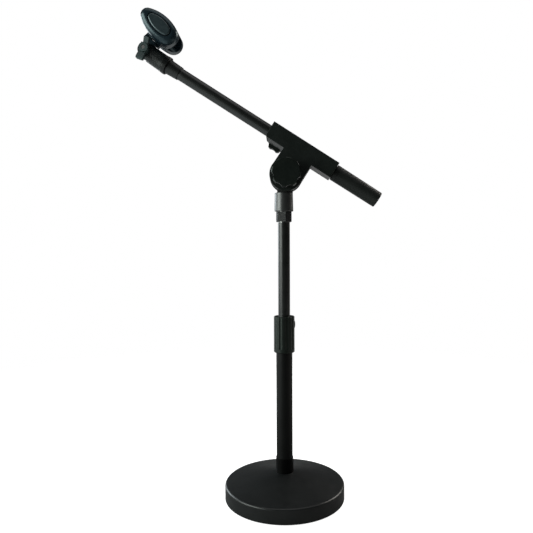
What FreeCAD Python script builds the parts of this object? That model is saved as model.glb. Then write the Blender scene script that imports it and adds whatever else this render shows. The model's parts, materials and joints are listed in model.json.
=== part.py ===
import FreeCAD, Part
import math
import os
import re

import Sketcher

# Desktop microphone stand: round cast base, two-stage column with a twist clutch,
# tilting head that clamps a sliding boom, and a sprung two-jaw microphone clip.
# World frame: column axis on Z, base rests on Z = 0, boom in the XZ plane with the
# clip end towards -X. Millimetres and degrees.

SIZES = {
    # base casting and its fittings
    "base_r": 81.2, "base_floor": 1.0, "rim_top": 20.2, "dome_top": 35.2, "rim_round": 2.5,
    "pad_r": 75.5, "pad_top": 2.6, "pad_edge": 0.6, "hollow_in": 26.0, "hollow_out": 60.0,
    "hollow_top": 10.0, "recess_r": 17.0, "recess_top": 12.0, "tube_seat": 18.0,
    "ferrule_r": 11.7, "ferrule_foot_r": 12.3, "ferrule_top": 55.0, "ferrule_edge": 0.4,
    "bolt_r": 5.0, "bolt_head_high": 6.4, "bolt_flats": 17.0, "bolt_end": 36.0,
    "bolt_chamfer": 0.8, "bolt_clear": 0.5, "washer_clear": 0.25,
    "washer_r": 13.0, "washer_thick": 2.0, "plug_top": 40.0,
    # column tubes
    "lower_r": 11.0, "lower_wall": 1.5, "lower_top": 214.0,
    "upper_r": 8.0, "upper_wall": 1.2, "upper_foot": 148.0,
    "bush_foot": 144.0, "bush_top": 168.0, "bush_edge": 0.6, "slide_fit": 0.05,
    # twist clutch
    "clutch_foot": 199.0, "clutch_top": 248.0, "clutch_r": 14.1, "clutch_mouth": 8.5, "clutch_edge": 1.3,
    "clutch_bore": 12.75, "clutch_step": 233.0, "clutch_cone": 11.1, "clutch_lip": 244.0,
    "flute_r": 5.0, "flute_depth": 0.75, "flute_count": 10, "flute_turn": 21.4,
    "mark_high": 236.7, "mark_half": 5.5, "mark_deep": 1.6, "mark_wide": 3.2,
    "body_foot": 201.0, "body_top": 230.0, "body_r": 12.4, "collet_foot": 216.0,
    "collet_top": 241.0, "collet_r": 10.7, "collet_slit": 1.4,
    # threaded top of the column and its lock nut
    "stud_r": 7.9, "stud_foot": 366.0, "stud_top": 411.0, "stud_step": 0.4, "nut_foot": 375.3,
    "nut_top": 389.3,
    "nut_flats": 19.0, "nut_turn": 12.0,
    # head stem
    "stem_foot": 389.6, "stem_top": 414.6, "stem_r_foot": 12.7, "stem_r_top": 12.2,
    "stem_bore_top": 411.8, "stem_edge": 0.9, "tongue_half": 6.0, "tongue_r": 19.5, "neck_half": 10.5,
    "disc_r": 18.0, "disc_thick": 1.4, "disc_gap": 0.1,
    # tilt pivot and boom head
    "pivot_x": 3.2, "pivot_z": 438.0, "boom_elevation": 32.6, "boom_rise": 38.1,
    "block_half": 18.0, "block_low": 27.0, "block_high": 49.8, "block_clip_end": 50.0,
    "block_tail_end": 51.6, "hub_r": 22.3, "web_clip": 21.3, "web_tail": 22.0,
    "slot_r": 21.0, "block_corner": 3.0, "block_bevel": 0.8,
    "pivot_bolt_r": 4.0, "pivot_head_r": 8.0, "pivot_head_high": 4.2, "pivot_bolt_tip": 34.0,
    "knob_washer_r": 12.0, "knob_washer_thick": 1.6,
    "knob_r": 19.2, "knob_back": 20.0, "knob_neck": 24.0, "knob_front": 41.0,
    "knob_neck_r": 12.5, "knob_round": 2.0, "lobe_r": 8.5, "lobe_count": 8, "lobe_depth": 2.2,
    "knob_nut_r": 7.0, "knob_nut_front": 31.0,
    # boom lock
    "lock_x": 36.0, "lock_r": 16.8, "lock_back": 20.0, "lock_neck": 22.5, "lock_front": 34.5,
    "lock_neck_r": 9.5, "lock_screw_r": 4.0, "lock_screw_tip": 11.6, "lock_screw_end": 32.0,
    "shoe_r": 4.6, "shoe_outer": 11.4,
    # boom and its ends
    "boom_r": 8.0, "boom_wall": 1.2, "boom_fit": 0.08, "boom_tail": 116.0, "boom_tip": 199.0,
    "weight_start": 51.9, "weight_end": 121.8, "weight_edge": 0.9, "weight_r_start": 11.3,
    "weight_r_end": 10.9,
    "fitting_back": 192.8, "fitting_front": 210.5, "fitting_r_back": 8.9, "fitting_r_front": 9.8,
    "thread_end": 232.5, "thread_r": 7.9, "ring_r": 12.0, "ring_edge": 0.8, "ring_back": 210.9,
    "ring_front": 216.8,
    # clip socket
    "socket_back": 217.2, "socket_r_back": 11.6, "socket_r_front": 11.3, "socket_end": 6.0,
    "socket_floor": 233.8, "insert_back": 220.0, "insert_r": 9.2, "clip_reach": 247.0,
    "yoke_r": 9.6, "yoke_half": 8.4, "yoke_slot": 3.8, "yoke_depth": 8.0, "socket_bend": 2.7,
    "rib_r": 0.55, "rib_count": 30, "rib_start": 10.5, "rib_end": 24.5,
    "clip_bolt_r": 2.5, "clip_head_r": 5.0, "clip_head_high": 3.0, "clip_head_edge": 1.0,
    "clip_bolt_tip": 17.0,
    "wing_back": 8.7, "wing_boss_front": 17.5, "wing_boss_r": 7.2, "wing_up": 13.2,
    "wing_down": 16.8, "wing_notch": 2.0, "wing_edge": 1.4,
    "wing_half": 4.6, "wing_tip_back": 13.6, "wing_tip_front": 20.4,
    "wing_lean": 14.6, "wing_nut_r": 4.2, "wing_nut_front": 13.0,
    # microphone clip
    "clip_pitch": 44.8, "clip_high": 33.4, "clip_shift": 2.7, "jaw_gap": 0.4, "jaw_deep": 25.5,
    "egg_front_r": 9.5, "egg_rear_r": 13.5, "egg_side_r": 54.4, "egg_front": 29.7,
    "egg_rear": 29.2, "jaw_round": 7.5, "grip_r": 12.0, "mouth_half": 7.0,
    "pad_front_r": 5.0, "pad_rear_r": 6.5, "pad_side_r": 38.0, "pad_front": 18.0,
    "pad_rear": 18.0, "pad_high": 34.6, "pad_shift": 1.9, "pad_groove": 1.0, "pad_recess": 2.4,
    "pad_proud": 1.2, "pad_round": 2.2,
    "hinge_high": 18.9, "knuckle_r": 2.4, "knuckle_gap": 0.3, "hinge_pin_r": 1.2,
    "hinge_fit": 0.05, "hinge_half": 12.0, "hinge_mid": 2.7, "knuckle_far": 8.6,
    "knuckle_mid": 5.4, "knuckle_near": 2.6, "knuckle_clear": 3.2, "tongue_fit": 3.5,
    "plate_half": 2.6, "neck_tail": 5.0, "jaw_face": 4.5,
    "core_start": 20.0, "core_long": 12.0, "core_rib": 2.0, "core_high": 8.0, "jaw_foot": 4.2,
    "web_reach": 6.5,
    "clip_tongue_r": 7.4, "plate_low": 13.5, "plate_high": 15.9, "lip_out": 3.3, "lip_high": 17.0,
    "gusset_out": 10.2, "gusset_high": 6.0,
    "coil_r": 1.75, "coil_wire": 0.3, "coil_turns": 5, "coil_half": 2.0,
}

doc = FreeCAD.newDocument("desktop_mic_stand")
sheet = doc.addObject("Spreadsheet::Sheet", "Dim")
for row, (alias, value) in enumerate(SIZES.items(), start=1):
    sheet.set("A%d" % row, alias)
    sheet.set("B%d" % row, str(value))
    sheet.setAlias("B%d" % row, alias)
doc.recompute()

WORD = re.compile(r"[a-z][a-z_]*")
SUBPARTS = []


def bound(text):
    """Turn a formula of size names into one that points at the sheet."""
    return WORD.sub(lambda m: "Dim." + m.group(0) if m.group(0) in SIZES else m.group(0), str(text))


def origin_item(body, role):
    for item in body.Origin.OriginFeatures:
        if item.Role == role:
            return item
    raise ValueError(role)


def new_body(label, frame="world"):
    """Start a sub-part and set where its own frame stands."""
    body = doc.addObject("PartDesign::Body", label)
    body.Label = label
    body.Placement = FreeCAD.Placement(FreeCAD.Vector(), FreeCAD.Rotation(FreeCAD.Vector(0, 1, 0), 10))
    lean = "boom_elevation * 1 deg"
    rise_x = "boom_rise * sin(%s)" % lean
    rise_z = "boom_rise * cos(%s)" % lean
    pitch = "clip_pitch * 1 deg"
    lift = "(clip_reach - socket_back) * tan(socket_bend * 1 deg)"
    clip_x = "pivot_x + %s - clip_reach * cos(%s) + %s * sin(%s)" % (rise_x, lean, lift, lean)
    clip_z = "pivot_z + %s + clip_reach * sin(%s) + %s * cos(%s)" % (rise_z, lean, lift, lean)
    frames = {
        "world": ("0", "0", "0 deg"),
        "head": ("pivot_x", "pivot_z", lean),
        "boom": ("pivot_x + " + rise_x, "pivot_z + " + rise_z, lean),
        "socket": (clip_x, clip_z, "(boom_elevation + socket_bend) * 1 deg"),
        "clip": (clip_x, clip_z, pitch),
        "hinge": ("%s + hinge_high * sin(%s) - hinge_mid * cos(%s)" % (clip_x, pitch, pitch),
                  "%s + hinge_high * cos(%s) + hinge_mid * sin(%s)" % (clip_z, pitch, pitch), pitch),
    }
    at_x, at_z, turn = frames[frame]
    body.setExpression("Placement.Base.x", bound(at_x))
    body.setExpression("Placement.Base.z", bound(at_z))
    body.setExpression("Placement.Rotation.Angle", bound(turn))
    SUBPARTS.append(body)
    return body


def sketch_on(body, role):
    sketch = body.newObject("Sketcher::SketchObject", body.Name + "_sketch")
    sketch.AttachmentSupport = (origin_item(body, role), [""])
    sketch.MapMode = "FlatFace"
    return sketch


def bind_constraint(sketch, constraint, formula):
    index = sketch.addConstraint(constraint)
    sketch.setExpression("Constraints[%d]" % index, bound(formula))


def polygon(sketch, corners):
    """Closed outline whose every corner is dimensioned from the sketch origin."""
    count = len(corners)
    start = [FreeCAD.Vector(40 + 9 * math.cos(2 * math.pi * i / count),
                            40 + 9 * math.sin(2 * math.pi * i / count), 0) for i in range(count)]
    for i in range(count):
        sketch.addGeometry(Part.LineSegment(start[i], start[(i + 1) % count]), False)
    for i in range(count):
        sketch.addConstraint(Sketcher.Constraint("Coincident", i, 2, (i + 1) % count, 1))
    for i, (across, along) in enumerate(corners):
        bind_constraint(sketch, Sketcher.Constraint("DistanceX", -1, 1, i, 1, start[i].x), across)
        bind_constraint(sketch, Sketcher.Constraint("DistanceY", -1, 1, i, 1, start[i].y), along)


def turned(body, corners, axis="Z", cut=False):
    """Solid (or groove) of revolution. Corners are (radius, height) for Z, (radius, y) for Y
    and (x, radius) for X."""
    role, line = {"Z": ("XZ_Plane", "V_Axis"), "Y": ("XY_Plane", "V_Axis"),
                  "X": ("XZ_Plane", "H_Axis")}[axis]
    sketch = sketch_on(body, role)
    polygon(sketch, corners)
    kind = "PartDesign::Groove" if cut else "PartDesign::Revolution"
    feature = body.newObject(kind, body.Name + "_turn")
    feature.Profile = sketch
    feature.ReferenceAxis = (sketch, [line])
    feature.Angle = 360.0
    return feature


TURN = {
    "Z": FreeCAD.Rotation(),
    "X": FreeCAD.Rotation(FreeCAD.Vector(0, 1, 0), 90),
    "Y": FreeCAD.Rotation(FreeCAD.Vector(1, 0, 0), -90),
}


def primitive(body, kind, at, axis="Z", **sizes):
    """Additive or subtractive box, cylinder or ellipsoid placed inside the body."""
    feature = body.newObject("PartDesign::" + kind, body.Name + "_" + kind)
    feature.Placement = FreeCAD.Placement(FreeCAD.Vector(), TURN[axis])
    for name, formula in zip("xyz", at):
        feature.setExpression("Placement.Base." + name, bound(formula))
    for name, formula in sizes.items():
        feature.setExpression(name, bound(formula))
    return feature


def box(body, low, high, cut=False):
    """Box between two opposite corners."""
    sides = ["(%s) - (%s)" % (high[i], low[i]) for i in range(3)]
    kind = "SubtractiveBox" if cut else "AdditiveBox"
    return primitive(body, kind, low, Length=sides[0], Width=sides[1], Height=sides[2])


def rod(body, axis, start, radius, length, cut=False):
    """Cylinder that runs from start along +axis."""
    kind = "SubtractiveCylinder" if cut else "AdditiveCylinder"
    return primitive(body, kind, start, axis, Radius=radius, Height=length)


def repeat_about(body, feature, role, count):
    pattern = body.newObject("PartDesign::PolarPattern", body.Name + "_repeat")
    pattern.Originals = [feature]
    pattern.Axis = (origin_item(body, role), [""])
    pattern.Angle = 360.0
    pattern.setExpression("Occurrences", bound(count))
    body.Tip = pattern
    return pattern


def ease(body, radius, chosen, kind="Fillet"):
    """Round or bevel the edges of the current solid that pass the test."""
    doc.recompute()
    tip = body.Tip
    names = ["Edge%d" % (i + 1) for i, edge in enumerate(tip.Shape.Edges) if chosen(edge)]
    if not names:
        raise ValueError("no edges to ease on " + body.Label)
    feature = body.newObject("PartDesign::" + kind, body.Name + "_ease")
    feature.Base = (tip, names)
    feature.setExpression("Radius" if kind == "Fillet" else "Size", bound(radius))
    return feature


def circle_at(axis, place, radius=None, slack=0.05):
    """Test for a full circle in the plane axis = place, of the given radius if stated."""
    def test(edge):
        if edge.Curve.TypeId != "Part::GeomCircle":
            return False
        centre = getattr(edge.Curve.Center, axis)
        fits = radius is None or abs(edge.Curve.Radius - radius) < slack
        return fits and abs(centre - place) < slack and len(edge.Vertexes) == 1
    return test


def in_plane(axis, place, slack=0.02):
    """Test for an edge that lies wholly in the plane axis = place."""
    def test(edge):
        limits = edge.BoundBox
        low = getattr(limits, axis.upper() + "Min")
        high = getattr(limits, axis.upper() + "Max")
        return abs(low - place) < slack and abs(high - place) < slack
    return test


def egg(sketch, front, front_r, rear, rear_r, side_r, high, shift, grow="0"):
    """Oval with a small end at -x and a large end at +x, joined by two long arcs.
    grow offsets the whole outline outwards."""
    number = SIZES
    extra = number[grow] if grow in number else 0.0
    a_r = number[front_r] + extra
    b_r = number[rear_r] + extra
    s_r = number[side_r] + extra
    level = number[high]
    a_x = -number[shift] - number[front] + number[front_r]
    b_x = -number[shift] + number[rear] - number[rear_r]
    # centre of the upper long arc: inside-tangent to both end circles
    gap = b_x - a_x
    to_a = s_r - a_r
    to_b = s_r - b_r
    along = (gap * gap + to_a * to_a - to_b * to_b) / (2 * gap)
    drop = math.sqrt(to_a * to_a - along * along)
    c_x = a_x + along
    up = FreeCAD.Vector(0, 0, 1)

    def arc(x, y, radius, first, last):
        return Part.ArcOfCircle(Part.Circle(FreeCAD.Vector(x, y, 0), up, radius), first, last)

    at_a = math.atan2(drop, a_x - c_x)
    at_b = math.atan2(drop, b_x - c_x)
    sketch.addGeometry(arc(c_x, level - drop, s_r, at_b, at_a), False)
    sketch.addGeometry(arc(a_x, level, a_r, at_a, 2 * math.pi - at_a), False)
    sketch.addGeometry(arc(c_x, level + drop, s_r, -at_a, -at_b), False)
    sketch.addGeometry(arc(b_x, level, b_r, -at_b, at_b), False)
    for first, last in ((0, 1), (1, 2), (2, 3), (3, 0)):
        sketch.addConstraint(Sketcher.Constraint("Tangent", first, 2, last, 1))
    bind_constraint(sketch, Sketcher.Constraint("DistanceY", -1, 1, 1, 3, level), high)
    bind_constraint(sketch, Sketcher.Constraint("DistanceY", -1, 1, 3, 3, level), high)
    bind_constraint(sketch, Sketcher.Constraint("DistanceX", -1, 1, 1, 3, a_x),
                    "%s - %s - %s" % (front_r, shift, front))
    bind_constraint(sketch, Sketcher.Constraint("DistanceX", -1, 1, 3, 3, b_x),
                    "%s - %s - %s" % (rear, shift, rear_r))
    bind_constraint(sketch, Sketcher.Constraint("Radius", 1, a_r), "%s + %s" % (front_r, grow))
    bind_constraint(sketch, Sketcher.Constraint("Radius", 3, b_r), "%s + %s" % (rear_r, grow))
    bind_constraint(sketch, Sketcher.Constraint("Radius", 0, s_r), "%s + %s" % (side_r, grow))
    sketch.addConstraint(Sketcher.Constraint("Equal", 0, 2))


def hexagon(body, flats, low, high, axis="Z", turn=0.0, cut=False):
    """Hexagonal prism between two stations on the axis."""
    kind = "SubtractivePrism" if cut else "AdditivePrism"
    start = {"Z": ("0", "0", low), "Y": ("0", low, "0"), "X": (low, "0", "0")}[axis]
    feature = primitive(body, kind, start, axis, Circumradius="(%s) / 2 / cos(30 deg)" % flats,
                        Height="(%s) - (%s)" % (high, low))
    feature.Polygon = 6
    spin = FreeCAD.Rotation(FreeCAD.Vector(0, 0, 1), turn)
    feature.Placement = FreeCAD.Placement(feature.Placement.Base, TURN[axis] * spin)
    return feature


# ---------------------------------------------------------------- base and column

base = new_body("base_casting")
turned(base, [("bolt_r + bolt_clear", "recess_top"), ("recess_r", "recess_top"), ("recess_r", "pad_top"),
              ("hollow_in", "pad_top"), ("hollow_in", "hollow_top"), ("hollow_out", "hollow_top"),
              ("hollow_out", "pad_top"), ("pad_r", "pad_top"), ("pad_r", "base_floor"),
              ("base_r", "base_floor"),
              ("base_r", "rim_top"), ("ferrule_foot_r", "dome_top"), ("lower_r", "dome_top"),
              ("lower_r", "tube_seat"), ("bolt_r + bolt_clear", "tube_seat")])
ease(base, "rim_round", circle_at("z", SIZES["rim_top"], SIZES["base_r"]))

mat = new_body("base_pad")
turned(mat, [("0", "0"), ("pad_r", "0"), ("pad_r", "pad_top"), ("0", "pad_top")])
ease(mat, "pad_edge", circle_at("z", 0.0, SIZES["pad_r"]))

ferrule = new_body("foot_ferrule")
turned(ferrule, [("lower_r", "dome_top"), ("ferrule_foot_r", "dome_top"), ("ferrule_r", "ferrule_top"),
                 ("lower_r", "ferrule_top")])
ease(ferrule, "ferrule_edge", circle_at("z", SIZES["ferrule_top"], SIZES["ferrule_r"]))

lower = new_body("lower_tube")
turned(lower, [("lower_r - lower_wall", "tube_seat"), ("lower_r", "tube_seat"),
               ("lower_r", "lower_top"), ("lower_r - lower_wall", "lower_top")])

plug = new_body("lower_tube_plug")
turned(plug, [("bolt_r", "tube_seat"), ("lower_r - lower_wall", "tube_seat"),
              ("lower_r - lower_wall", "plug_top"), ("bolt_r", "plug_top")])
ease(plug, "bolt_chamfer", circle_at("z", SIZES["plug_top"], SIZES["lower_r"] - SIZES["lower_wall"]),
     "Chamfer")

bolt = new_body("base_bolt")
hexagon(bolt, "bolt_flats", "recess_top - washer_thick - bolt_head_high", "recess_top - washer_thick")
rod(bolt, "Z", ("0", "0", "recess_top - washer_thick"), "bolt_r",
    "bolt_end - recess_top + washer_thick")
ease(bolt, "bolt_chamfer", circle_at("z", SIZES["bolt_end"], SIZES["bolt_r"]), "Chamfer")

washer = new_body("base_washer")
turned(washer, [("bolt_r + washer_clear", "recess_top - washer_thick"),
                ("washer_r", "recess_top - washer_thick"), ("washer_r", "recess_top"),
                ("bolt_r + washer_clear", "recess_top")])

clutch_body = new_body("clutch_body")
turned(clutch_body, [("lower_r", "body_foot"), ("body_r", "body_foot"), ("body_r", "body_top - 5"),
                     ("body_r - 1.4", "body_top"), ("collet_r", "body_top"),
                     ("collet_r", "lower_top"), ("lower_r", "lower_top")])

collet = new_body("clutch_collet")
turned(collet, [("upper_r + slide_fit", "lower_top"), ("collet_r", "lower_top"),
                ("collet_r", "body_top + 1"), ("collet_r - 1.9", "collet_top"),
                ("upper_r + slide_fit", "collet_top")])
slit = box(collet, ("0", "-collet_slit / 2", "collet_foot + 4"),
           ("collet_r + 2", "collet_slit / 2", "collet_top + 1"), cut=True)
repeat_about(collet, slit, "Z_Axis", "4")

grip = new_body("clutch_grip")
turned(grip, [("clutch_bore", "clutch_foot"), ("clutch_r", "clutch_foot"), ("clutch_r", "clutch_top"),
              ("clutch_mouth", "clutch_top"), ("clutch_mouth", "clutch_lip"),
              ("clutch_cone", "clutch_step"), ("clutch_bore", "clutch_step")])
ease(grip, "clutch_edge", lambda e: circle_at("z", SIZES["clutch_top"], SIZES["clutch_r"])(e)
     or circle_at("z", SIZES["clutch_foot"], SIZES["clutch_r"])(e))
doc.recompute()
flute = rod(grip, "Z", ("(clutch_r + flute_r - flute_depth) * sin(flute_turn * 1 deg) * -1",
                        "(clutch_r + flute_r - flute_depth) * cos(flute_turn * 1 deg) * -1",
                        "clutch_foot + 5"), "flute_r", "clutch_top - clutch_foot", cut=True)
repeat_about(grip, flute, "Z_Axis", "flute_count")
primitive(grip, "AdditiveEllipsoid", ("clutch_r - 0.7", "0", "mark_high"), Radius1="mark_half",
          Radius2="mark_deep", Radius3="mark_wide")

upper = new_body("upper_tube")
turned(upper, [("upper_r - upper_wall", "upper_foot"), ("upper_r", "upper_foot"),
               ("upper_r", "nut_foot - stud_step"), ("upper_r - upper_wall", "nut_foot - stud_step")])

bush = new_body("guide_bush")
turned(bush, [("upper_r - upper_wall", "bush_foot"), ("lower_r - lower_wall - slide_fit", "bush_foot"),
              ("lower_r - lower_wall - slide_fit", "bush_top"), ("upper_r", "bush_top"),
              ("upper_r", "upper_foot"), ("upper_r - upper_wall", "upper_foot")])
ease(bush, "bush_edge", circle_at("z", SIZES["bush_foot"], SIZES["lower_r"] - SIZES["lower_wall"]
                              - SIZES["slide_fit"]), "Chamfer")

stud = new_body("top_stud")
turned(stud, [("0", "stud_foot"), ("upper_r - upper_wall", "stud_foot"),
              ("upper_r - upper_wall", "nut_foot - stud_step"), ("stud_r", "nut_foot - stud_step"),
              ("stud_r", "stud_top - 1"), ("stud_r - 1", "stud_top"), ("0", "stud_top")])

nut = new_body("lock_nut")
hexagon(nut, "nut_flats", "nut_foot", "nut_top", turn=SIZES["nut_turn"] - 90.0)
rod(nut, "Z", ("0", "0", "nut_foot - 1"), "stud_r", "nut_top - nut_foot + 2", cut=True)
turned(nut, [("nut_flats / 2", "nut_foot - 1"), ("nut_flats", "nut_foot - 1"),
             ("nut_flats", "nut_foot + nut_flats / 4"), ("nut_flats / 2 + 0.2", "nut_foot")], cut=True)

# ---------------------------------------------------------------- head stem

stem = new_body("head_stem")
turned(stem, [("stud_r + slide_fit", "stem_foot"), ("stem_r_foot", "stem_foot"),
              ("stem_r_foot", "stem_foot + 2"), ("stem_r_top", "stem_top"), ("0", "stem_top"),
              ("0", "stem_bore_top"), ("stud_r + slide_fit", "stem_bore_top")])
ease(stem, "stem_edge", lambda e: circle_at("z", SIZES["stem_foot"], SIZES["stem_r_foot"])(e)
     or circle_at("z", SIZES["stem_top"], SIZES["stem_r_top"])(e))
box(stem, ("pivot_x / 2 - neck_half", "-tongue_half", "stem_top - 0.5"),
    ("pivot_x / 2 + neck_half", "tongue_half", "pivot_z - 8"))
rod(stem, "Y", ("pivot_x", "-tongue_half", "pivot_z"), "tongue_r", "2 * tongue_half")
rod(stem, "Y", ("pivot_x", "-tongue_half - 1", "pivot_z"), "pivot_bolt_r + slide_fit",
    "2 * tongue_half + 2", cut=True)

for label, low, high in (("friction_disc_near", "-tongue_half - disc_thick", "-tongue_half"),
                         ("friction_disc_far", "tongue_half", "tongue_half + disc_thick")):
    disc = new_body(label, "head")
    disc.setExpression("Placement.Rotation.Angle", "0 deg")
    turned(disc, [("pivot_bolt_r + slide_fit", low), ("disc_r", low), ("disc_r", high),
                  ("pivot_bolt_r + slide_fit", high)], "Y")

# ---------------------------------------------------------------- boom head

CHEEK = "tongue_half + disc_thick + disc_gap"
block = new_body("boom_block", "head")
profile = sketch_on(block, "XZ_Plane")
polygon(profile, [("-web_clip", "block_low + 2"), ("-hub_r * 0.995", "0"), ("hub_r * 0.995", "0"),
                  ("web_tail", "block_low + 2")])
web = block.newObject("PartDesign::Pad", "boom_block_web")
web.Profile = profile
web.Midplane = True
web.setExpression("Length", bound("2 * block_half"))
rod(block, "Y", ("0", "-block_half", "0"), "hub_r", "2 * block_half")
box(block, ("-block_clip_end", "-block_half", "block_low"),
    ("block_tail_end", "block_half", "block_high"))
ease(block, "block_corner", lambda e: in_plane("x", -SIZES["block_clip_end"])(e)
     and in_plane("z", SIZES["block_low"])(e))
ease(block, "block_bevel", lambda e: in_plane("y", -SIZES["block_half"])(e)
     or in_plane("y", SIZES["block_half"])(e))
rod(block, "Y", ("0", "-(%s)" % CHEEK, "0"), "slot_r", "2 * (%s)" % CHEEK, cut=True)
box(block, ("-hub_r - 2", "-(%s)" % CHEEK, "-hub_r - 2"), ("hub_r + 2", CHEEK, "4"), cut=True)
rod(block, "Y", ("0", "-block_half - 1", "0"), "pivot_bolt_r", "2 * block_half + 2", cut=True)
rod(block, "X", ("-block_clip_end - 1", "0", "boom_rise"), "boom_r + boom_fit",
    "block_clip_end + block_tail_end + 2", cut=True)
rod(block, "Y", ("-lock_x", "boom_r - 2", "boom_rise"), "lock_screw_r + slide_fit",
    "block_half", cut=True)
rod(block, "Y", ("-lock_x", "boom_r - 2", "boom_rise"), "shoe_r", "shoe_outer - boom_r + 2", cut=True)

pivot = new_body("pivot_bolt", "head")
turned(pivot, [("0", "-pivot_bolt_tip"), ("pivot_bolt_r - 0.8", "-pivot_bolt_tip"),
               ("pivot_bolt_r", "0.8 - pivot_bolt_tip"), ("pivot_bolt_r", "block_half"),
               ("pivot_head_r", "block_half"), ("pivot_head_r - 1", "block_half + pivot_head_high - 1"),
               ("pivot_head_r - 3.5", "block_half + pivot_head_high"),
               ("0", "block_half + pivot_head_high")], "Y")

knob_washer = new_body("knob_washer", "head")
turned(knob_washer, [("pivot_bolt_r + 0.2", "-block_half - knob_washer_thick"),
                     ("knob_washer_r", "-block_half - knob_washer_thick"),
                     ("knob_washer_r", "-block_half"), ("pivot_bolt_r + 0.2", "-block_half")], "Y")

shoe = new_body("boom_lock_shoe", "boom")
rod(shoe, "Y", ("-lock_x", "boom_r - 2", "0"), "shoe_r - slide_fit", "shoe_outer - boom_r + 1.8")
rod(shoe, "X", ("-lock_x - 10", "0", "0"), "boom_r + boom_fit", "20", cut=True)


def lobed_knob(label, frame, side, centre, radius, back, neck, front, neck_r, bore_r, bore_end):
    """Knob on the Y axis: side -1 faces the viewer, +1 faces away."""
    body = new_body(label, frame)
    near, mid, far, end = [("-(%s)" if side < 0 else "%s") % y for y in (back, neck, front, bore_end)]
    turned(body, [(bore_r, near), (neck_r, near), (neck_r, mid), (radius, mid), (radius, far),
                  ("0", far), ("0", end), (bore_r, end)], "Y")
    ease(body, "knob_round", circle_at("y", side * SIZES[front], SIZES[radius]))
    scallop = rod(body, "Y", ("0", "-60", "%s + lobe_r - lobe_depth" % radius), "lobe_r", "120", cut=True)
    repeat_about(body, scallop, "Y_Axis", "lobe_count")
    if centre:
        shift = "%s * cos(boom_elevation * 1 deg)" % centre
        fall = "%s * sin(boom_elevation * 1 deg)" % centre
        body.setExpression("Placement.Base.x", bound(
            "pivot_x + boom_rise * sin(boom_elevation * 1 deg) - " + shift))
        body.setExpression("Placement.Base.z", bound(
            "pivot_z + boom_rise * cos(boom_elevation * 1 deg) + " + fall))
    return body


lobed_knob("tilt_knob", "head", -1, None, "knob_r", "knob_back", "knob_neck", "knob_front",
           "knob_neck_r", "knob_nut_r", "knob_front - 4")
knob_nut = new_body("tilt_knob_nut", "head")
turned(knob_nut, [("pivot_bolt_r + slide_fit", "-knob_nut_front"), ("knob_nut_r", "-knob_nut_front"),
                  ("knob_nut_r", "-knob_back"), ("pivot_bolt_r + slide_fit", "-knob_back")], "Y")

lobed_knob("boom_lock_knob", "boom", 1, "lock_x", "lock_r", "lock_back", "lock_neck", "lock_front",
           "lock_neck_r", "lock_screw_r", "lock_screw_end")
lock_screw = new_body("boom_lock_screw", "boom")
turned(lock_screw, [("0", "lock_screw_tip"), ("lock_screw_r - 0.8", "lock_screw_tip"),
                    ("lock_screw_r", "lock_screw_tip + 0.8"), ("lock_screw_r", "lock_screw_end"),
                    ("0", "lock_screw_end")], "Y")
lock_screw.setExpression("Placement.Base.x", bound(
    "pivot_x + boom_rise * sin(boom_elevation * 1 deg) - lock_x * cos(boom_elevation * 1 deg)"))
lock_screw.setExpression("Placement.Base.z", bound(
    "pivot_z + boom_rise * cos(boom_elevation * 1 deg) + lock_x * sin(boom_elevation * 1 deg)"))

# ---------------------------------------------------------------- boom

tube = new_body("boom_tube", "boom")
turned(tube, [("-boom_tip", "boom_r - boom_wall"), ("-boom_tip", "boom_r"), ("boom_tail", "boom_r"),
              ("boom_tail", "boom_r - boom_wall")], "X")

weight = new_body("boom_weight", "boom")
turned(weight, [("weight_start", "boom_r"), ("weight_start", "weight_r_start"),
                ("weight_end", "weight_r_end"), ("weight_end", "0"), ("boom_tail", "0"),
                ("boom_tail", "boom_r")], "X")
ease(weight, "weight_edge", lambda e: circle_at("x", SIZES["weight_end"], SIZES["weight_r_end"])(e)
     or circle_at("x", SIZES["weight_start"], SIZES["weight_r_start"])(e))

fitting = new_body("boom_end_fitting", "boom")
turned(fitting, [("-fitting_back", "boom_r"), ("-fitting_back", "fitting_r_back"),
                 ("-fitting_front", "fitting_r_front"), ("-fitting_front", "thread_r"),
                 ("1 - thread_end", "thread_r"), ("-thread_end", "thread_r - 1"),
                 ("-thread_end", "0"), ("-boom_tip", "0"), ("-boom_tip", "boom_r")], "X")

lock_ring = new_body("boom_lock_ring", "boom")
turned(lock_ring, [("-ring_back", "thread_r"), ("-ring_back", "ring_r"), ("-ring_front", "ring_r"),
                   ("-ring_front", "thread_r")], "X")
ease(lock_ring, "ring_edge", lambda e: circle_at("x", -SIZES["ring_back"], SIZES["ring_r"])(e)
     or circle_at("x", -SIZES["ring_front"], SIZES["ring_r"])(e))

# ---------------------------------------------------------------- clip socket

# The socket's own axis bends up from the boom axis where it meets the lock ring.
BEND = FreeCAD.Rotation(FreeCAD.Vector(0, 1, 0), -SIZES["socket_bend"])
SOCKET_LONG = "(clip_reach - socket_back) / cos(socket_bend * 1 deg)"


def on_boom_axis(station):
    """Point of the boom axis in the socket's frame, at a distance from the boom's origin."""
    ahead = "(%s - socket_back)" % station
    return ("%s - %s * cos(socket_bend * 1 deg)" % (SOCKET_LONG, ahead), "0",
            "-%s * sin(socket_bend * 1 deg)" % ahead)


def bent_hole(body, station, radius, length):
    """Bore along the boom axis, from a station towards the boom's tail."""
    hole = rod(body, "X", on_boom_axis(station), radius, length, cut=True)
    hole.Placement = FreeCAD.Placement(hole.Placement.Base, BEND * TURN["X"])


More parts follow.
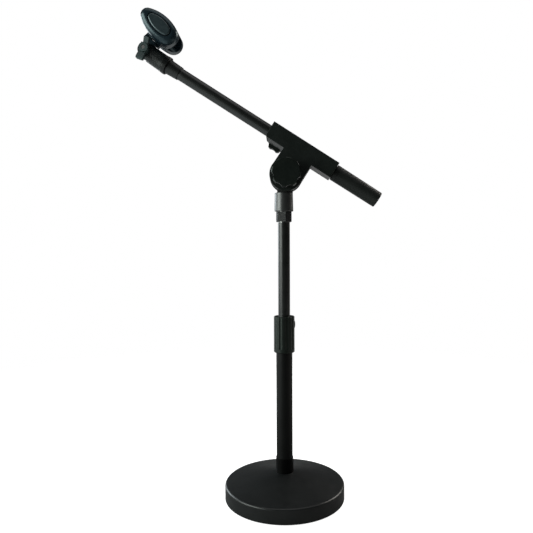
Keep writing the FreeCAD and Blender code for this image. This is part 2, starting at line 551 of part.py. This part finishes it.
socket = new_body("clip_socket", "socket")
turned(socket, [(SOCKET_LONG + " + 2", "0"), (SOCKET_LONG + " + 2", "socket_r_back"),
                ("socket_end", "socket_r_front"), ("socket_end", "0")], "X")
rod(socket, "Y", ("0", "-yoke_half", "0"), "yoke_r", "2 * yoke_half")
box(socket, ("-yoke_r - 4", "-yoke_slot", "-20"), ("yoke_depth", "yoke_slot", "20"), cut=True)
for low, high in (("-20", "-yoke_half"), ("yoke_half", "20")):
    box(socket, ("-20", low, "-20"), ("yoke_depth", high, "20"), cut=True)
rod(socket, "Y", ("0", "-20", "0"), "clip_bolt_r + slide_fit", "40", cut=True)
rib = rod(socket, "X", ("rib_start", "0", "socket_r_back + rib_r / 3"), "rib_r", "rib_end - rib_start",
          cut=True)
repeat_about(socket, rib, "X_Axis", "rib_count")
bent_hole(socket, "socket_floor", "insert_r", "socket_floor - insert_back")
bent_hole(socket, "insert_back", "thread_r + 0.3", "20")
bent_hole(socket, "socket_back", "30", "20")

insert = new_body("thread_insert", "boom")
turned(insert, [("-insert_back", "thread_r + slide_fit"), ("-insert_back", "insert_r"),
                ("-socket_floor", "insert_r"), ("-socket_floor", "thread_r + slide_fit")], "X")

clip_bolt = new_body("clip_pivot_bolt", "socket")
turned(clip_bolt, [("0", "-clip_bolt_tip"), ("clip_bolt_r", "-clip_bolt_tip"),
                   ("clip_bolt_r", "yoke_half"), ("clip_head_r", "yoke_half"),
                   ("clip_head_r", "yoke_half + clip_head_high"), ("0", "yoke_half + clip_head_high")], "Y")
ease(clip_bolt, "clip_head_edge",
     circle_at("y", SIZES["yoke_half"] + SIZES["clip_head_high"], SIZES["clip_head_r"]))

wing = new_body("wing_nut", "socket")
turned(wing, [("wing_nut_r", "-wing_back"), ("wing_boss_r", "-wing_back"),
              ("wing_boss_r - 1.2", "-wing_boss_front"), ("clip_bolt_r + 0.3", "-wing_boss_front"),
              ("clip_bolt_r + 0.3", "-wing_nut_front"), ("wing_nut_r", "-wing_nut_front")], "Y")

wing.setExpression("Placement.Rotation.Angle", bound("(boom_elevation - wing_lean) * 1 deg"))
lobes = sketch_on(wing, "YZ_Plane")
polygon(lobes, [("-wing_back - 1.6", "wing_boss_r - 1.8"), ("-wing_tip_back", "wing_up"),
                ("-wing_tip_front", "wing_up"), ("1.5 - wing_boss_front", "wing_boss_r - 1.8"),
                ("1.5 - wing_boss_front", "1.8 - wing_boss_r"), ("-wing_tip_front", "3 - wing_down"),
                ("-wing_tip_front", "-wing_down"), ("-wing_tip_back", "-wing_down"),
                ("-wing_back - 1.6", "1.8 - wing_boss_r")])
lobe_pad = wing.newObject("PartDesign::Pad", "wing_lobes")
lobe_pad.Profile = lobes
lobe_pad.Midplane = True
lobe_pad.setExpression("Length", bound("2 * wing_half"))
ease(wing, "wing_edge", in_plane("z", -SIZES["wing_down"]))
box(wing, ("-wing_half - 1", "-wing_tip_front - 1", "wing_boss_r - 1"),
    ("-wing_notch", "0", "wing_up + 1"), cut=True)
rod(wing, "Y", ("0", "-wing_boss_front - 1", "0"), "clip_bolt_r + 0.3", "12", cut=True)
rod(wing, "Y", ("0", "-wing_nut_front", "0"), "wing_nut_r", "12", cut=True)

wing_insert = new_body("wing_nut_insert", "socket")
turned(wing_insert, [("clip_bolt_r + slide_fit", "-wing_nut_front"), ("wing_nut_r", "-wing_nut_front"),
                     ("wing_nut_r", "-wing_back"), ("clip_bolt_r + slide_fit", "-wing_back")], "Y")

# ---------------------------------------------------------------- microphone clip


def hinge_at(place):
    """Station along the hinge, whose middle stands ahead of the clip's own pivot."""
    return "%s - hinge_mid" % place


bracket = new_body("clip_bracket", "clip")
rod(bracket, "Y", ("0", "-tongue_fit", "0"), "clip_tongue_r", "2 * tongue_fit")
box(bracket, ("-clip_tongue_r", "-tongue_fit", "0"), ("neck_tail", "tongue_fit", "plate_high - 0.4"))
box(bracket, (hinge_at("-hinge_half"), "-plate_half", "plate_low"),
    (hinge_at("hinge_half"), "plate_half", "plate_high"))
box(bracket, (hinge_at("-hinge_half"), "plate_half", "plate_low"),
    (hinge_at("hinge_half"), "lip_out", "lip_high"))
gusset = sketch_on(bracket, "XZ_Plane")
polygon(gusset, [("-clip_tongue_r", "0"), ("0", "0"), ("0", "plate_low + 1"),
                 (hinge_at("-hinge_half"), "plate_low + 1"), (hinge_at("-hinge_half"), "plate_low"),
                 ("-gusset_out", "gusset_high")])
arm = bracket.newObject("PartDesign::Pad", "clip_bracket_arm")
arm.Profile = gusset
arm.Midplane = True
arm.setExpression("Length", bound("2 * tongue_fit"))
for low, high in (("-hinge_half", "-knuckle_far - knuckle_gap"), ("knuckle_far + knuckle_gap", "hinge_half")):
    low, high = hinge_at(low), hinge_at(high)
    box(bracket, (low, "-knuckle_r", "plate_low"), (high, "knuckle_r", "hinge_high"))
    rod(bracket, "X", (low, "0", "hinge_high"), "knuckle_r", "(%s) - (%s)" % (high, low))
rod(bracket, "X", (hinge_at("-hinge_half - 1"), "0", "hinge_high"), "hinge_pin_r", "2 * hinge_half + 2",
    cut=True)
rod(bracket, "Y", ("0", "-10", "0"), "clip_bolt_r + slide_fit", "20", cut=True)

pin = new_body("hinge_pin", "clip")
rod(pin, "X", (hinge_at("-hinge_half"), "0", "hinge_high"), "hinge_pin_r", "2 * hinge_half")

spring = new_body("jaw_spring", "hinge")
wire = sketch_on(spring, "XZ_Plane")
COIL = {"x": -SIZES["coil_half"], "y": SIZES["coil_r"], "r": SIZES["coil_wire"]}
wire.addGeometry(Part.Circle(FreeCAD.Vector(COIL["x"], COIL["y"], 0), FreeCAD.Vector(0, 0, 1), COIL["r"]),
                 False)
bind_constraint(wire, Sketcher.Constraint("Radius", 0, COIL["r"]), "coil_wire")
bind_constraint(wire, Sketcher.Constraint("DistanceX", -1, 1, 0, 3, COIL["x"]), "-coil_half")
bind_constraint(wire, Sketcher.Constraint("DistanceY", -1, 1, 0, 3, COIL["y"]), "coil_r")
coil = spring.newObject("PartDesign::AdditiveHelix", "jaw_spring_coil")
coil.Profile = wire
coil.ReferenceAxis = (wire, ["H_Axis"])
coil.Mode = "pitch-turns-angle"
coil.setExpression("Pitch", bound("2 * coil_half / coil_turns"))
coil.setExpression("Turns", bound("coil_turns"))

KNUCKLES = {
    "near": (("-knuckle_far", "-knuckle_mid - knuckle_gap"), ("knuckle_near", "knuckle_mid")),
    "far": (("-knuckle_mid", "-knuckle_near"), ("knuckle_mid + knuckle_gap", "knuckle_far")),
}


def offset_sketch(body, side, station):
    """Sketch in a plane parallel to the clip's mid-plane, at the given distance on one side."""
    sketch = sketch_on(body, "XZ_Plane")
    sketch.setExpression("AttachmentOffset.Base.z", bound(("-(%s)" if side == "far" else "%s") % station))
    return sketch


for side in ("near", "far"):
    sign = -1 if side == "near" else 1
    flip = "-" if side == "near" else ""
    jaw = new_body("jaw_" + side, "clip")
    outline = offset_sketch(jaw, side, "jaw_gap")
    egg(outline, "egg_front", "egg_front_r", "egg_rear", "egg_rear_r", "egg_side_r", "clip_high",
        "clip_shift")
    shell = jaw.newObject("PartDesign::Pad", jaw.Name + "_shell")
    shell.Profile = outline
    shell.Reversed = side == "far"
    shell.setExpression("Length", bound("jaw_deep"))
    ease(jaw, "jaw_round", in_plane("y", sign * (SIZES["jaw_gap"] + SIZES["jaw_deep"])))
    seat = offset_sketch(jaw, side, "(jaw_gap + jaw_deep)")
    egg(seat, "pad_front", "pad_front_r", "pad_rear", "pad_rear_r", "pad_side_r", "pad_high",
        "pad_shift", "pad_groove")
    recess = jaw.newObject("PartDesign::Pocket", jaw.Name + "_recess")
    recess.Profile = seat
    recess.Reversed = side == "far"
    recess.setExpression("Length", bound("pad_recess"))
    near_y, far_y = "jaw_gap", "jaw_gap + jaw_deep - jaw_face"
    if side == "near":
        near_y, far_y = "-(%s)" % far_y, "-jaw_gap"
    for start in ("-core_start", "core_rib - core_start + core_long"):
        box(jaw, (start, near_y, "clip_high - core_high"),
            (start + " + core_long", far_y, "clip_high + core_high"), cut=True)
    rod(jaw, "X", ("-60", "0", "clip_high"), "grip_r", "120", cut=True)
    box(jaw, ("-60", "-mouth_half", "clip_high"), ("60", "mouth_half", "clip_high + 40"), cut=True)
    rod(jaw, "X", (hinge_at("-hinge_half - 0.5"), "0", "hinge_high"), "knuckle_clear",
        "2 * hinge_half + 1", cut=True)
    box(jaw, (hinge_at("-hinge_half - 0.5"), "-jaw_foot", "0"),
        (hinge_at("hinge_half + 0.5"), "jaw_foot", "hinge_high"), cut=True)
    for low, high in KNUCKLES[side]:
        low, high = hinge_at(low), hinge_at(high)
        rod(jaw, "X", (low, "0", "hinge_high"), "knuckle_r", "(%s) - (%s)" % (high, low))
        inner_y = flip + "(knuckle_r - 1.4)"
        outer_y = flip + "web_reach"
        near_y, far_y = (outer_y, inner_y) if side == "near" else (inner_y, outer_y)
        box(jaw, (low, near_y, "hinge_high - 1"), (high, far_y, "hinge_high + 1.2"))
    rod(jaw, "X", (hinge_at("-hinge_half - 1"), "0", "hinge_high"), "hinge_pin_r + hinge_fit",
        "2 * hinge_half + 2", cut=True)

    pad = new_body("pad_" + side, "clip")
    face = offset_sketch(pad, side, "(jaw_gap + jaw_deep - pad_recess)")
    egg(face, "pad_front", "pad_front_r", "pad_rear", "pad_rear_r", "pad_side_r", "pad_high",
        "pad_shift")
    cushion = pad.newObject("PartDesign::Pad", pad.Name + "_cushion")
    cushion.Profile = face
    cushion.Reversed = side == "far"
    cushion.setExpression("Length", bound("pad_recess + pad_proud"))
    ease(pad, "pad_round", in_plane("y", sign * (SIZES["jaw_gap"] + SIZES["jaw_deep"] + SIZES["pad_proud"])))

# ---------------------------------------------------------------- check and write

doc.recompute()
for item in doc.Objects:
    if "Invalid" in item.State or "Error" in item.State:
        raise RuntimeError("%s: %s" % (item.Label, item.State))
os.makedirs("parts", exist_ok=True)
for body in SUBPARTS:
    if body.Shape.isNull() or not body.Shape.isValid():
        raise RuntimeError("bad shape: " + body.Label)
    body.Shape.exportStep("parts/%s.step" % body.Label)
    print(body.Label, len(body.Shape.Solids), round(body.Shape.Volume, 1))
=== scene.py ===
import json
import math

import bpy
from mathutils import Matrix, Vector

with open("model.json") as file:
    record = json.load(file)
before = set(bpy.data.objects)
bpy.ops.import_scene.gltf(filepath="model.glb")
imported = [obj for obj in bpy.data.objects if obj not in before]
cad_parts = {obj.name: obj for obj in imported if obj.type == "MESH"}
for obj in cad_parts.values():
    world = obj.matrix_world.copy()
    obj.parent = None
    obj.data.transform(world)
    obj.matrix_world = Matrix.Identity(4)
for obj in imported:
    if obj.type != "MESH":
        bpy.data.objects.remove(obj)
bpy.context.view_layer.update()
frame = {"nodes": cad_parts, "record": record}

# ------------------------------------------------------------------ camera

SENSOR_MM = 36.0
IMAGE_SIDE = 533.0
FOCAL_PX = 555.0
CAMERA_AT = Vector((0.0, -0.751, 0.349))
YAW, PITCH, ROLL = (math.radians(angle) for angle in (-0.27, -1.9, -0.2))
CENTRE_OFFSET_PX = (14.9, 6.5)
CLIP_RANGE = (0.01, 200.0)


def add_camera():
    """Camera at the standpoint, turned by yaw, pitch and roll about its own axes."""
    data = bpy.data.cameras.new("view_camera")
    data.sensor_width = SENSOR_MM
    data.lens = FOCAL_PX / IMAGE_SIDE * SENSOR_MM
    data.shift_x = -CENTRE_OFFSET_PX[0] / IMAGE_SIDE
    data.shift_y = -CENTRE_OFFSET_PX[1] / IMAGE_SIDE
    data.clip_start, data.clip_end = CLIP_RANGE
    ahead = Vector((math.sin(YAW) * math.cos(PITCH), math.cos(YAW) * math.cos(PITCH), math.sin(PITCH)))
    level = Vector((math.cos(YAW), -math.sin(YAW), 0.0))
    above = level.cross(ahead)
    right = math.cos(ROLL) * level + math.sin(ROLL) * above
    up = -math.sin(ROLL) * level + math.cos(ROLL) * above
    turn = Matrix((right, up, -ahead)).transposed()
    camera = bpy.data.objects.new("view_camera", data)
    camera.matrix_world = Matrix.Translation(CAMERA_AT) @ turn.to_4x4()
    bpy.context.scene.collection.objects.link(camera)
    bpy.context.scene.camera = camera


add_camera()

# ------------------------------------------------------------------ light, floor and surround


def area_light(name, place, target, size, power, tint):
    """Soft rectangular light that the camera doesn't see, turned towards its target."""
    data = bpy.data.lights.new(name, "AREA")
    data.shape = "RECTANGLE"
    data.size, data.size_y = size
    data.energy = power
    data.color = tint
    lamp = bpy.data.objects.new(name, data)
    lamp.location = place
    lamp.rotation_euler = (Vector(target) - Vector(place)).to_track_quat("-Z", "Y").to_euler()
    lamp.visible_camera = False
    bpy.context.scene.collection.objects.link(lamp)


def add_lights():
    """Each card: name, place, target, size, watts and tint. Places and sizes are in metres."""
    neutral, cool, green, warm = (1.0, 1.0, 1.0), (0.88, 0.97, 1.0), (0.93, 1.0, 0.95), (1.0, 0.96, 0.9)
    base, foot, middle = (0.0, 0.0, 0.0), (0.0, 0.0, 0.1), (0.0, 0.0, 0.35)
    cards = [
        ("overhead_softbox", (0.1, -0.3, 2.4), base, (2.2, 1.6), 10.0, neutral),
        ("left_softbox", (-2.0, -0.95, 0.75), middle, (1.7, 1.3), 44.0, green),
        ("rear_left_card", (-2.0, 1.5, 0.8), foot, (1.8, 1.4), 36.0, cool),
        ("rear_right_card", (2.1, 1.3, 1.6), foot, (1.6, 1.3), 36.0, warm),
        ("rear_low_card", (0.0, 1.9, 0.01), (0.0, 1.9, 1.0), (3.0, 2.4), 10.0, neutral),
        ("left_low_card", (-0.62, -0.25, 0.01), (-0.62, -0.25, 1.0), (0.7, 1.1), 1.6, cool),
        ("right_low_card", (0.62, -0.1, 0.01), (0.62, -0.1, 1.0), (0.6, 1.0), 1.0, warm),
    ]
    for card in cards:
        area_light(*card)


def seen_or_lit(tree, seen, lit):
    """One shader for what is seen directly, another for what lights the object."""
    mix = tree.nodes.new("ShaderNodeMixShader")
    rays = tree.nodes.new("ShaderNodeLightPath")
    tree.links.new(rays.outputs["Is Camera Ray"], mix.inputs[0])
    tree.links.new(lit, mix.inputs[1])
    tree.links.new(seen, mix.inputs[2])
    return mix.outputs[0]


def add_floor():
    """Pale paper that fades into the white surround, with a faint contact shadow."""
    side, fade_from, fade_to = 30.0, 0.45, 1.1
    paper_glow, paper_tone, reflected_tone = 0.86, 0.8, 0.3
    mesh = bpy.data.meshes.new("studio_floor")
    corners = [(-side, -side, 0.0), (side, -side, 0.0), (side, side, 0.0), (-side, side, 0.0)]
    mesh.from_pydata(corners, [], [(0, 1, 2, 3)])
    floor = bpy.data.objects.new("studio_floor", mesh)
    bpy.context.scene.collection.objects.link(floor)
    paper = bpy.data.materials.new("studio_paper")
    paper.use_nodes = True
    tree = paper.node_tree
    tree.nodes.clear()
    glow = tree.nodes.new("ShaderNodeEmission")
    glow.inputs["Strength"].default_value = paper_glow
    matt = tree.nodes.new("ShaderNodeBsdfDiffuse")
    matt.inputs["Color"].default_value = (paper_tone, paper_tone, paper_tone, 1.0)
    both = tree.nodes.new("ShaderNodeAddShader")
    tree.links.new(glow.outputs[0], both.inputs[0])
    tree.links.new(matt.outputs[0], both.inputs[1])
    place = tree.nodes.new("ShaderNodeTexCoord").outputs["Object"]
    reach = tree.nodes.new("ShaderNodeVectorMath")
    reach.operation = "LENGTH"
    tree.links.new(place, reach.inputs[0])
    fade = tree.nodes.new("ShaderNodeMapRange")
    fade.interpolation_type = "SMOOTHSTEP"
    fade.inputs["From Min"].default_value = fade_from
    fade.inputs["From Max"].default_value = fade_to
    tree.links.new(reach.outputs["Value"], fade.inputs["Value"])
    clear = tree.nodes.new("ShaderNodeBsdfTransparent")
    edge = tree.nodes.new("ShaderNodeMixShader")
    tree.links.new(fade.outputs["Result"], edge.inputs[0])
    tree.links.new(both.outputs[0], edge.inputs[1])
    tree.links.new(clear.outputs[0], edge.inputs[2])
    dim = tree.nodes.new("ShaderNodeBsdfDiffuse")
    dim.inputs["Color"].default_value = (reflected_tone, reflected_tone, reflected_tone, 1.0)
    out = tree.nodes.new("ShaderNodeOutputMaterial")
    tree.links.new(seen_or_lit(tree, edge.outputs[0], dim.outputs[0]), out.inputs["Surface"])
    mesh.materials.append(paper)


def add_surround():
    """White behind the object; a dim bluish grey for what the object reflects."""
    reflected_tint, reflected_strength = (0.92, 0.96, 1.0), 0.06
    world = bpy.data.worlds.new("studio_surround")
    world.use_nodes = True
    tree = world.node_tree
    tree.nodes.clear()
    dim = tree.nodes.new("ShaderNodeBackground")
    dim.inputs["Color"].default_value = (*reflected_tint, 1.0)
    dim.inputs["Strength"].default_value = reflected_strength
    bright = tree.nodes.new("ShaderNodeBackground")
    bright.inputs["Color"].default_value = (1.0, 1.0, 1.0, 1.0)
    out = tree.nodes.new("ShaderNodeOutputWorld")
    tree.links.new(seen_or_lit(tree, bright.outputs[0], dim.outputs[0]), out.inputs["Surface"])
    bpy.context.scene.world = world


add_lights()
add_floor()
add_surround()
bpy.context.scene.view_settings.view_transform = "Standard"

# ------------------------------------------------------------------ materials

# Texture scales are repeats per metre of the object's own coordinates.
MICRON = 1e-6
WHITE = (1.0, 1.0, 1.0)
NOISE_LOW, NOISE_HIGH = 0.3, 0.7


class Finish:
    """A node material on the object's own coordinates, in metres."""

    def __init__(self, name, metallic=0.0, coat=0.0, coat_roughness=0.2, specular=0.5,
                 tint=WHITE):
        self.material = bpy.data.materials.new(name)
        self.material.use_nodes = True
        self.tree = self.material.node_tree
        self.shader = self.tree.nodes["Principled BSDF"]
        self.shader.inputs["Metallic"].default_value = metallic
        self.shader.inputs["Coat Weight"].default_value = coat
        self.shader.inputs["Coat Roughness"].default_value = coat_roughness
        self.shader.inputs["Specular IOR Level"].default_value = specular
        self.shader.inputs["Specular Tint"].default_value = (*tint, 1.0)
        self.place = self.tree.nodes.new("ShaderNodeTexCoord").outputs["Object"]
        self.relief = None

    def link(self, source, target):
        self.tree.links.new(source, target)

    def stretched(self, scale):
        node = self.tree.nodes.new("ShaderNodeMapping")
        node.inputs["Scale"].default_value = scale
        self.link(self.place, node.inputs["Vector"])
        return node.outputs["Vector"]

    def noise(self, scale, detail=3.0, roughness=0.55, stretch=None):
        node = self.tree.nodes.new("ShaderNodeTexNoise")
        node.inputs["Scale"].default_value = scale
        node.inputs["Detail"].default_value = detail
        node.inputs["Roughness"].default_value = roughness
        self.link(self.stretched(stretch) if stretch else self.place, node.inputs["Vector"])
        return node.outputs["Fac"]

    def cells(self, scale):
        node = self.tree.nodes.new("ShaderNodeTexVoronoi")
        node.inputs["Scale"].default_value = scale
        self.link(self.place, node.inputs["Vector"])
        return node.outputs["Distance"]

    def colour(self, mask, dark, light, low=0.35, high=0.65):
        ramp = self.tree.nodes.new("ShaderNodeValToRGB")
        ramp.color_ramp.elements[0].position = low
        ramp.color_ramp.elements[0].color = (*dark, 1.0)
        ramp.color_ramp.elements[1].position = high
        ramp.color_ramp.elements[1].color = (*light, 1.0)
        self.link(mask, ramp.inputs["Fac"])
        self.link(ramp.outputs["Color"], self.shader.inputs["Base Color"])

    def gloss(self, mask, smooth, rough):
        span = self.tree.nodes.new("ShaderNodeMapRange")
        span.inputs["From Min"].default_value = NOISE_LOW
        span.inputs["From Max"].default_value = NOISE_HIGH
        span.inputs["To Min"].default_value = smooth
        span.inputs["To Max"].default_value = rough
        self.link(mask, span.inputs["Value"])
        self.link(span.outputs["Result"], self.shader.inputs["Roughness"])

    def bump(self, mask, depth, strength=1.0):
        node = self.tree.nodes.new("ShaderNodeBump")
        node.inputs["Strength"].default_value = strength
        node.inputs["Distance"].default_value = depth
        self.link(mask, node.inputs["Height"])
        if self.relief is not None:
            self.link(self.relief, node.inputs["Normal"])
        self.relief = node.outputs["Normal"]
        self.link(self.relief, self.shader.inputs["Normal"])


def powder_coat(name, dark, light, smooth, rough, grain, depth, specular=0.5):
    """Fine orange-peel paint with slow changes of tone."""
    finish = Finish(name, specular=specular)
    finish.colour(finish.noise(scale=40.0, detail=4.0), dark, light)
    finish.gloss(finish.noise(scale=120.0, detail=4.0), smooth, rough)
    finish.bump(finish.noise(grain, detail=2.0), depth)
    peel_grain, peel_depth = grain * 0.25, depth * 1.5
    finish.bump(finish.noise(peel_grain, detail=2.0), peel_depth)
    return finish.material


def moulded(name, dark, light, smooth, rough, grain, depth, coat=0.0, specular=0.5,
            tint=WHITE):
    """Injection-moulded plastic with a spark-eroded texture."""
    finish = Finish(name, coat=coat, specular=specular, tint=tint)
    finish.colour(finish.noise(scale=60.0, detail=5.0), dark, light)
    finish.gloss(finish.noise(scale=200.0, detail=3.0), smooth, rough)
    finish.bump(finish.cells(grain), depth)
    swell_depth = depth * 2.0
    finish.bump(finish.noise(scale=90.0, detail=2.0), swell_depth)
    return finish.material


def plated(name, dark, light, smooth, rough, stretch, depth=4 * MICRON):
    """Plated or bare metal with fine machining lines."""
    finish = Finish(name, metallic=1.0)
    finish.colour(finish.noise(scale=70.0, detail=4.0), dark, light)
    lines = finish.noise(scale=900.0, detail=2.0, roughness=0.5, stretch=stretch)
    finish.gloss(lines, smooth, rough)
    finish.bump(lines, depth)
    return finish.material


MATERIALS = {
    "cast_black": powder_coat(
        "cast_black_paint",
        dark=(0.007, 0.008, 0.008), light=(0.01, 0.0112, 0.0112),
        smooth=0.3, rough=0.38, grain=1500, depth=40 * MICRON),
    "rubber_black": moulded(
        "rubber_black_sheet",
        dark=(0.01, 0.01, 0.01), light=(0.016, 0.016, 0.016),
        smooth=0.65, rough=0.8, grain=2200, depth=40 * MICRON),
    "tube_black": powder_coat(
        "tube_black_paint",
        dark=(0.0066, 0.0076, 0.0068), light=(0.0094, 0.0108, 0.0097),
        smooth=0.27, rough=0.36, grain=1900, depth=18 * MICRON),
    "zinc_steel": plated(
        "zinc_steel_bright",
        dark=(0.5, 0.5, 0.48), light=(0.66, 0.66, 0.64),
        smooth=0.25, rough=0.4, stretch=(1, 1, 0.05)),
    "nylon_natural": moulded(
        "nylon_natural_bush",
        dark=(0.62, 0.6, 0.53), light=(0.75, 0.73, 0.66),
        smooth=0.4, rough=0.55, grain=1800, depth=20 * MICRON),
    "plastic_black": moulded(
        "plastic_black_moulded",
        dark=(0.0048, 0.0066, 0.0056), light=(0.007, 0.0094, 0.008),
        smooth=0.34, rough=0.46, grain=2600, depth=8 * MICRON, specular=0.3, tint=(0.86, 1, 0.9)),
    "nut_black": powder_coat(
        "nut_black_plate",
        dark=(0.01, 0.0105, 0.0105), light=(0.014, 0.0147, 0.0147),
        smooth=0.2, rough=0.26, grain=900, depth=12 * MICRON, specular=0.8),
    "stem_black": powder_coat(
        "stem_black_paint",
        dark=(0.016, 0.0172, 0.017), light=(0.022, 0.0238, 0.0233),
        smooth=0.34, rough=0.42, grain=1300, depth=20 * MICRON, specular=0.95),
    "friction_fibre": moulded(
        "friction_fibre_disc",
        dark=(0.1, 0.06, 0.035), light=(0.17, 0.1, 0.06),
        smooth=0.75, rough=0.9, grain=1500, depth=50 * MICRON),
    "block_black": powder_coat(
        "block_black_paint",
        dark=(0.0065, 0.0095, 0.0078), light=(0.0098, 0.0132, 0.0112),
        smooth=0.3, rough=0.4, grain=1700, depth=20 * MICRON, specular=0.45),
    "brass_bare": plated(
        "brass_turned",
        dark=(0.62, 0.44, 0.18), light=(0.78, 0.6, 0.3),
        smooth=0.22, rough=0.36, stretch=(1, 0.08, 1)),
    "weight_black": powder_coat(
        "weight_black_paint",
        dark=(0.007, 0.0088, 0.0078), light=(0.011, 0.0136, 0.012),
        smooth=0.42, rough=0.52, grain=1400, depth=30 * MICRON, specular=0.4),
    "plastic_teal": moulded(
        "plastic_teal_moulded",
        dark=(0.035, 0.056, 0.056), light=(0.048, 0.072, 0.072),
        smooth=0.5, rough=0.62, grain=2400, depth=40 * MICRON),
    "plastic_navy": moulded(
        "plastic_navy_moulded",
        dark=(0.006, 0.0125, 0.018), light=(0.009, 0.018, 0.025),
        smooth=0.26, rough=0.32, grain=3000, depth=3 * MICRON, specular=0.5, tint=(0.72, 0.95, 1)),
    "spring_steel": plated(
        "spring_steel_wire",
        dark=(0.05, 0.052, 0.056), light=(0.08, 0.083, 0.09),
        smooth=0.3, rough=0.4, stretch=(0.1, 1, 1)),
    "pad_navy": moulded(
        "pad_navy_soft",
        dark=(0.01, 0.017, 0.02), light=(0.015, 0.025, 0.029),
        smooth=0.34, rough=0.44, grain=2600, depth=6 * MICRON, specular=0.8, tint=(0.78, 0.96, 1)),
}

# Pieces whose surface differs from the rest of their slot.
OWN_FINISH = {
    "lower_tube": powder_coat(
        "lower_tube_paint",
        dark=(0.0045, 0.0048, 0.0046), light=(0.0062, 0.0066, 0.0063),
        smooth=0.38, rough=0.46, grain=1900, depth=20 * MICRON, specular=0.14),
    "foot_ferrule": moulded(
        "foot_ferrule_moulded",
        dark=(0.002, 0.002, 0.002), light=(0.003, 0.003, 0.003),
        smooth=0.4, rough=0.5, grain=2600, depth=10 * MICRON, specular=0.05),
    "boom_end_fitting": powder_coat(
        "end_fitting_paint",
        dark=(0.005, 0.006, 0.0055), light=(0.007, 0.0084, 0.0077),
        smooth=0.32, rough=0.4, grain=1500, depth=10 * MICRON, specular=0.4),
    "boom_lock_ring": powder_coat(
        "lock_ring_paint",
        dark=(0.004, 0.0048, 0.0044), light=(0.006, 0.0072, 0.0066),
        smooth=0.3, rough=0.38, grain=1500, depth=10 * MICRON, specular=0.35),
    "hinge_pin": plated(
        "hinge_pin_blackened",
        dark=(0.03, 0.032, 0.036), light=(0.05, 0.053, 0.06),
        smooth=0.4, rough=0.5, stretch=(1, 0.08, 1)),
    "clip_socket": moulded(
        "clip_socket_moulded",
        dark=(0.006, 0.0085, 0.0085), light=(0.0085, 0.0115, 0.0115),
        smooth=0.34, rough=0.42, grain=2600, depth=3 * MICRON, specular=0.5),
}

for part in frame["record"]["subparts"]:
    node, slot_name = part["node"], part["material_slot"]
    for slot in frame["nodes"][node].material_slots:
        slot.material = OWN_FINISH.get(node, MATERIALS[slot_name])

bpy.context.view_layer.update()
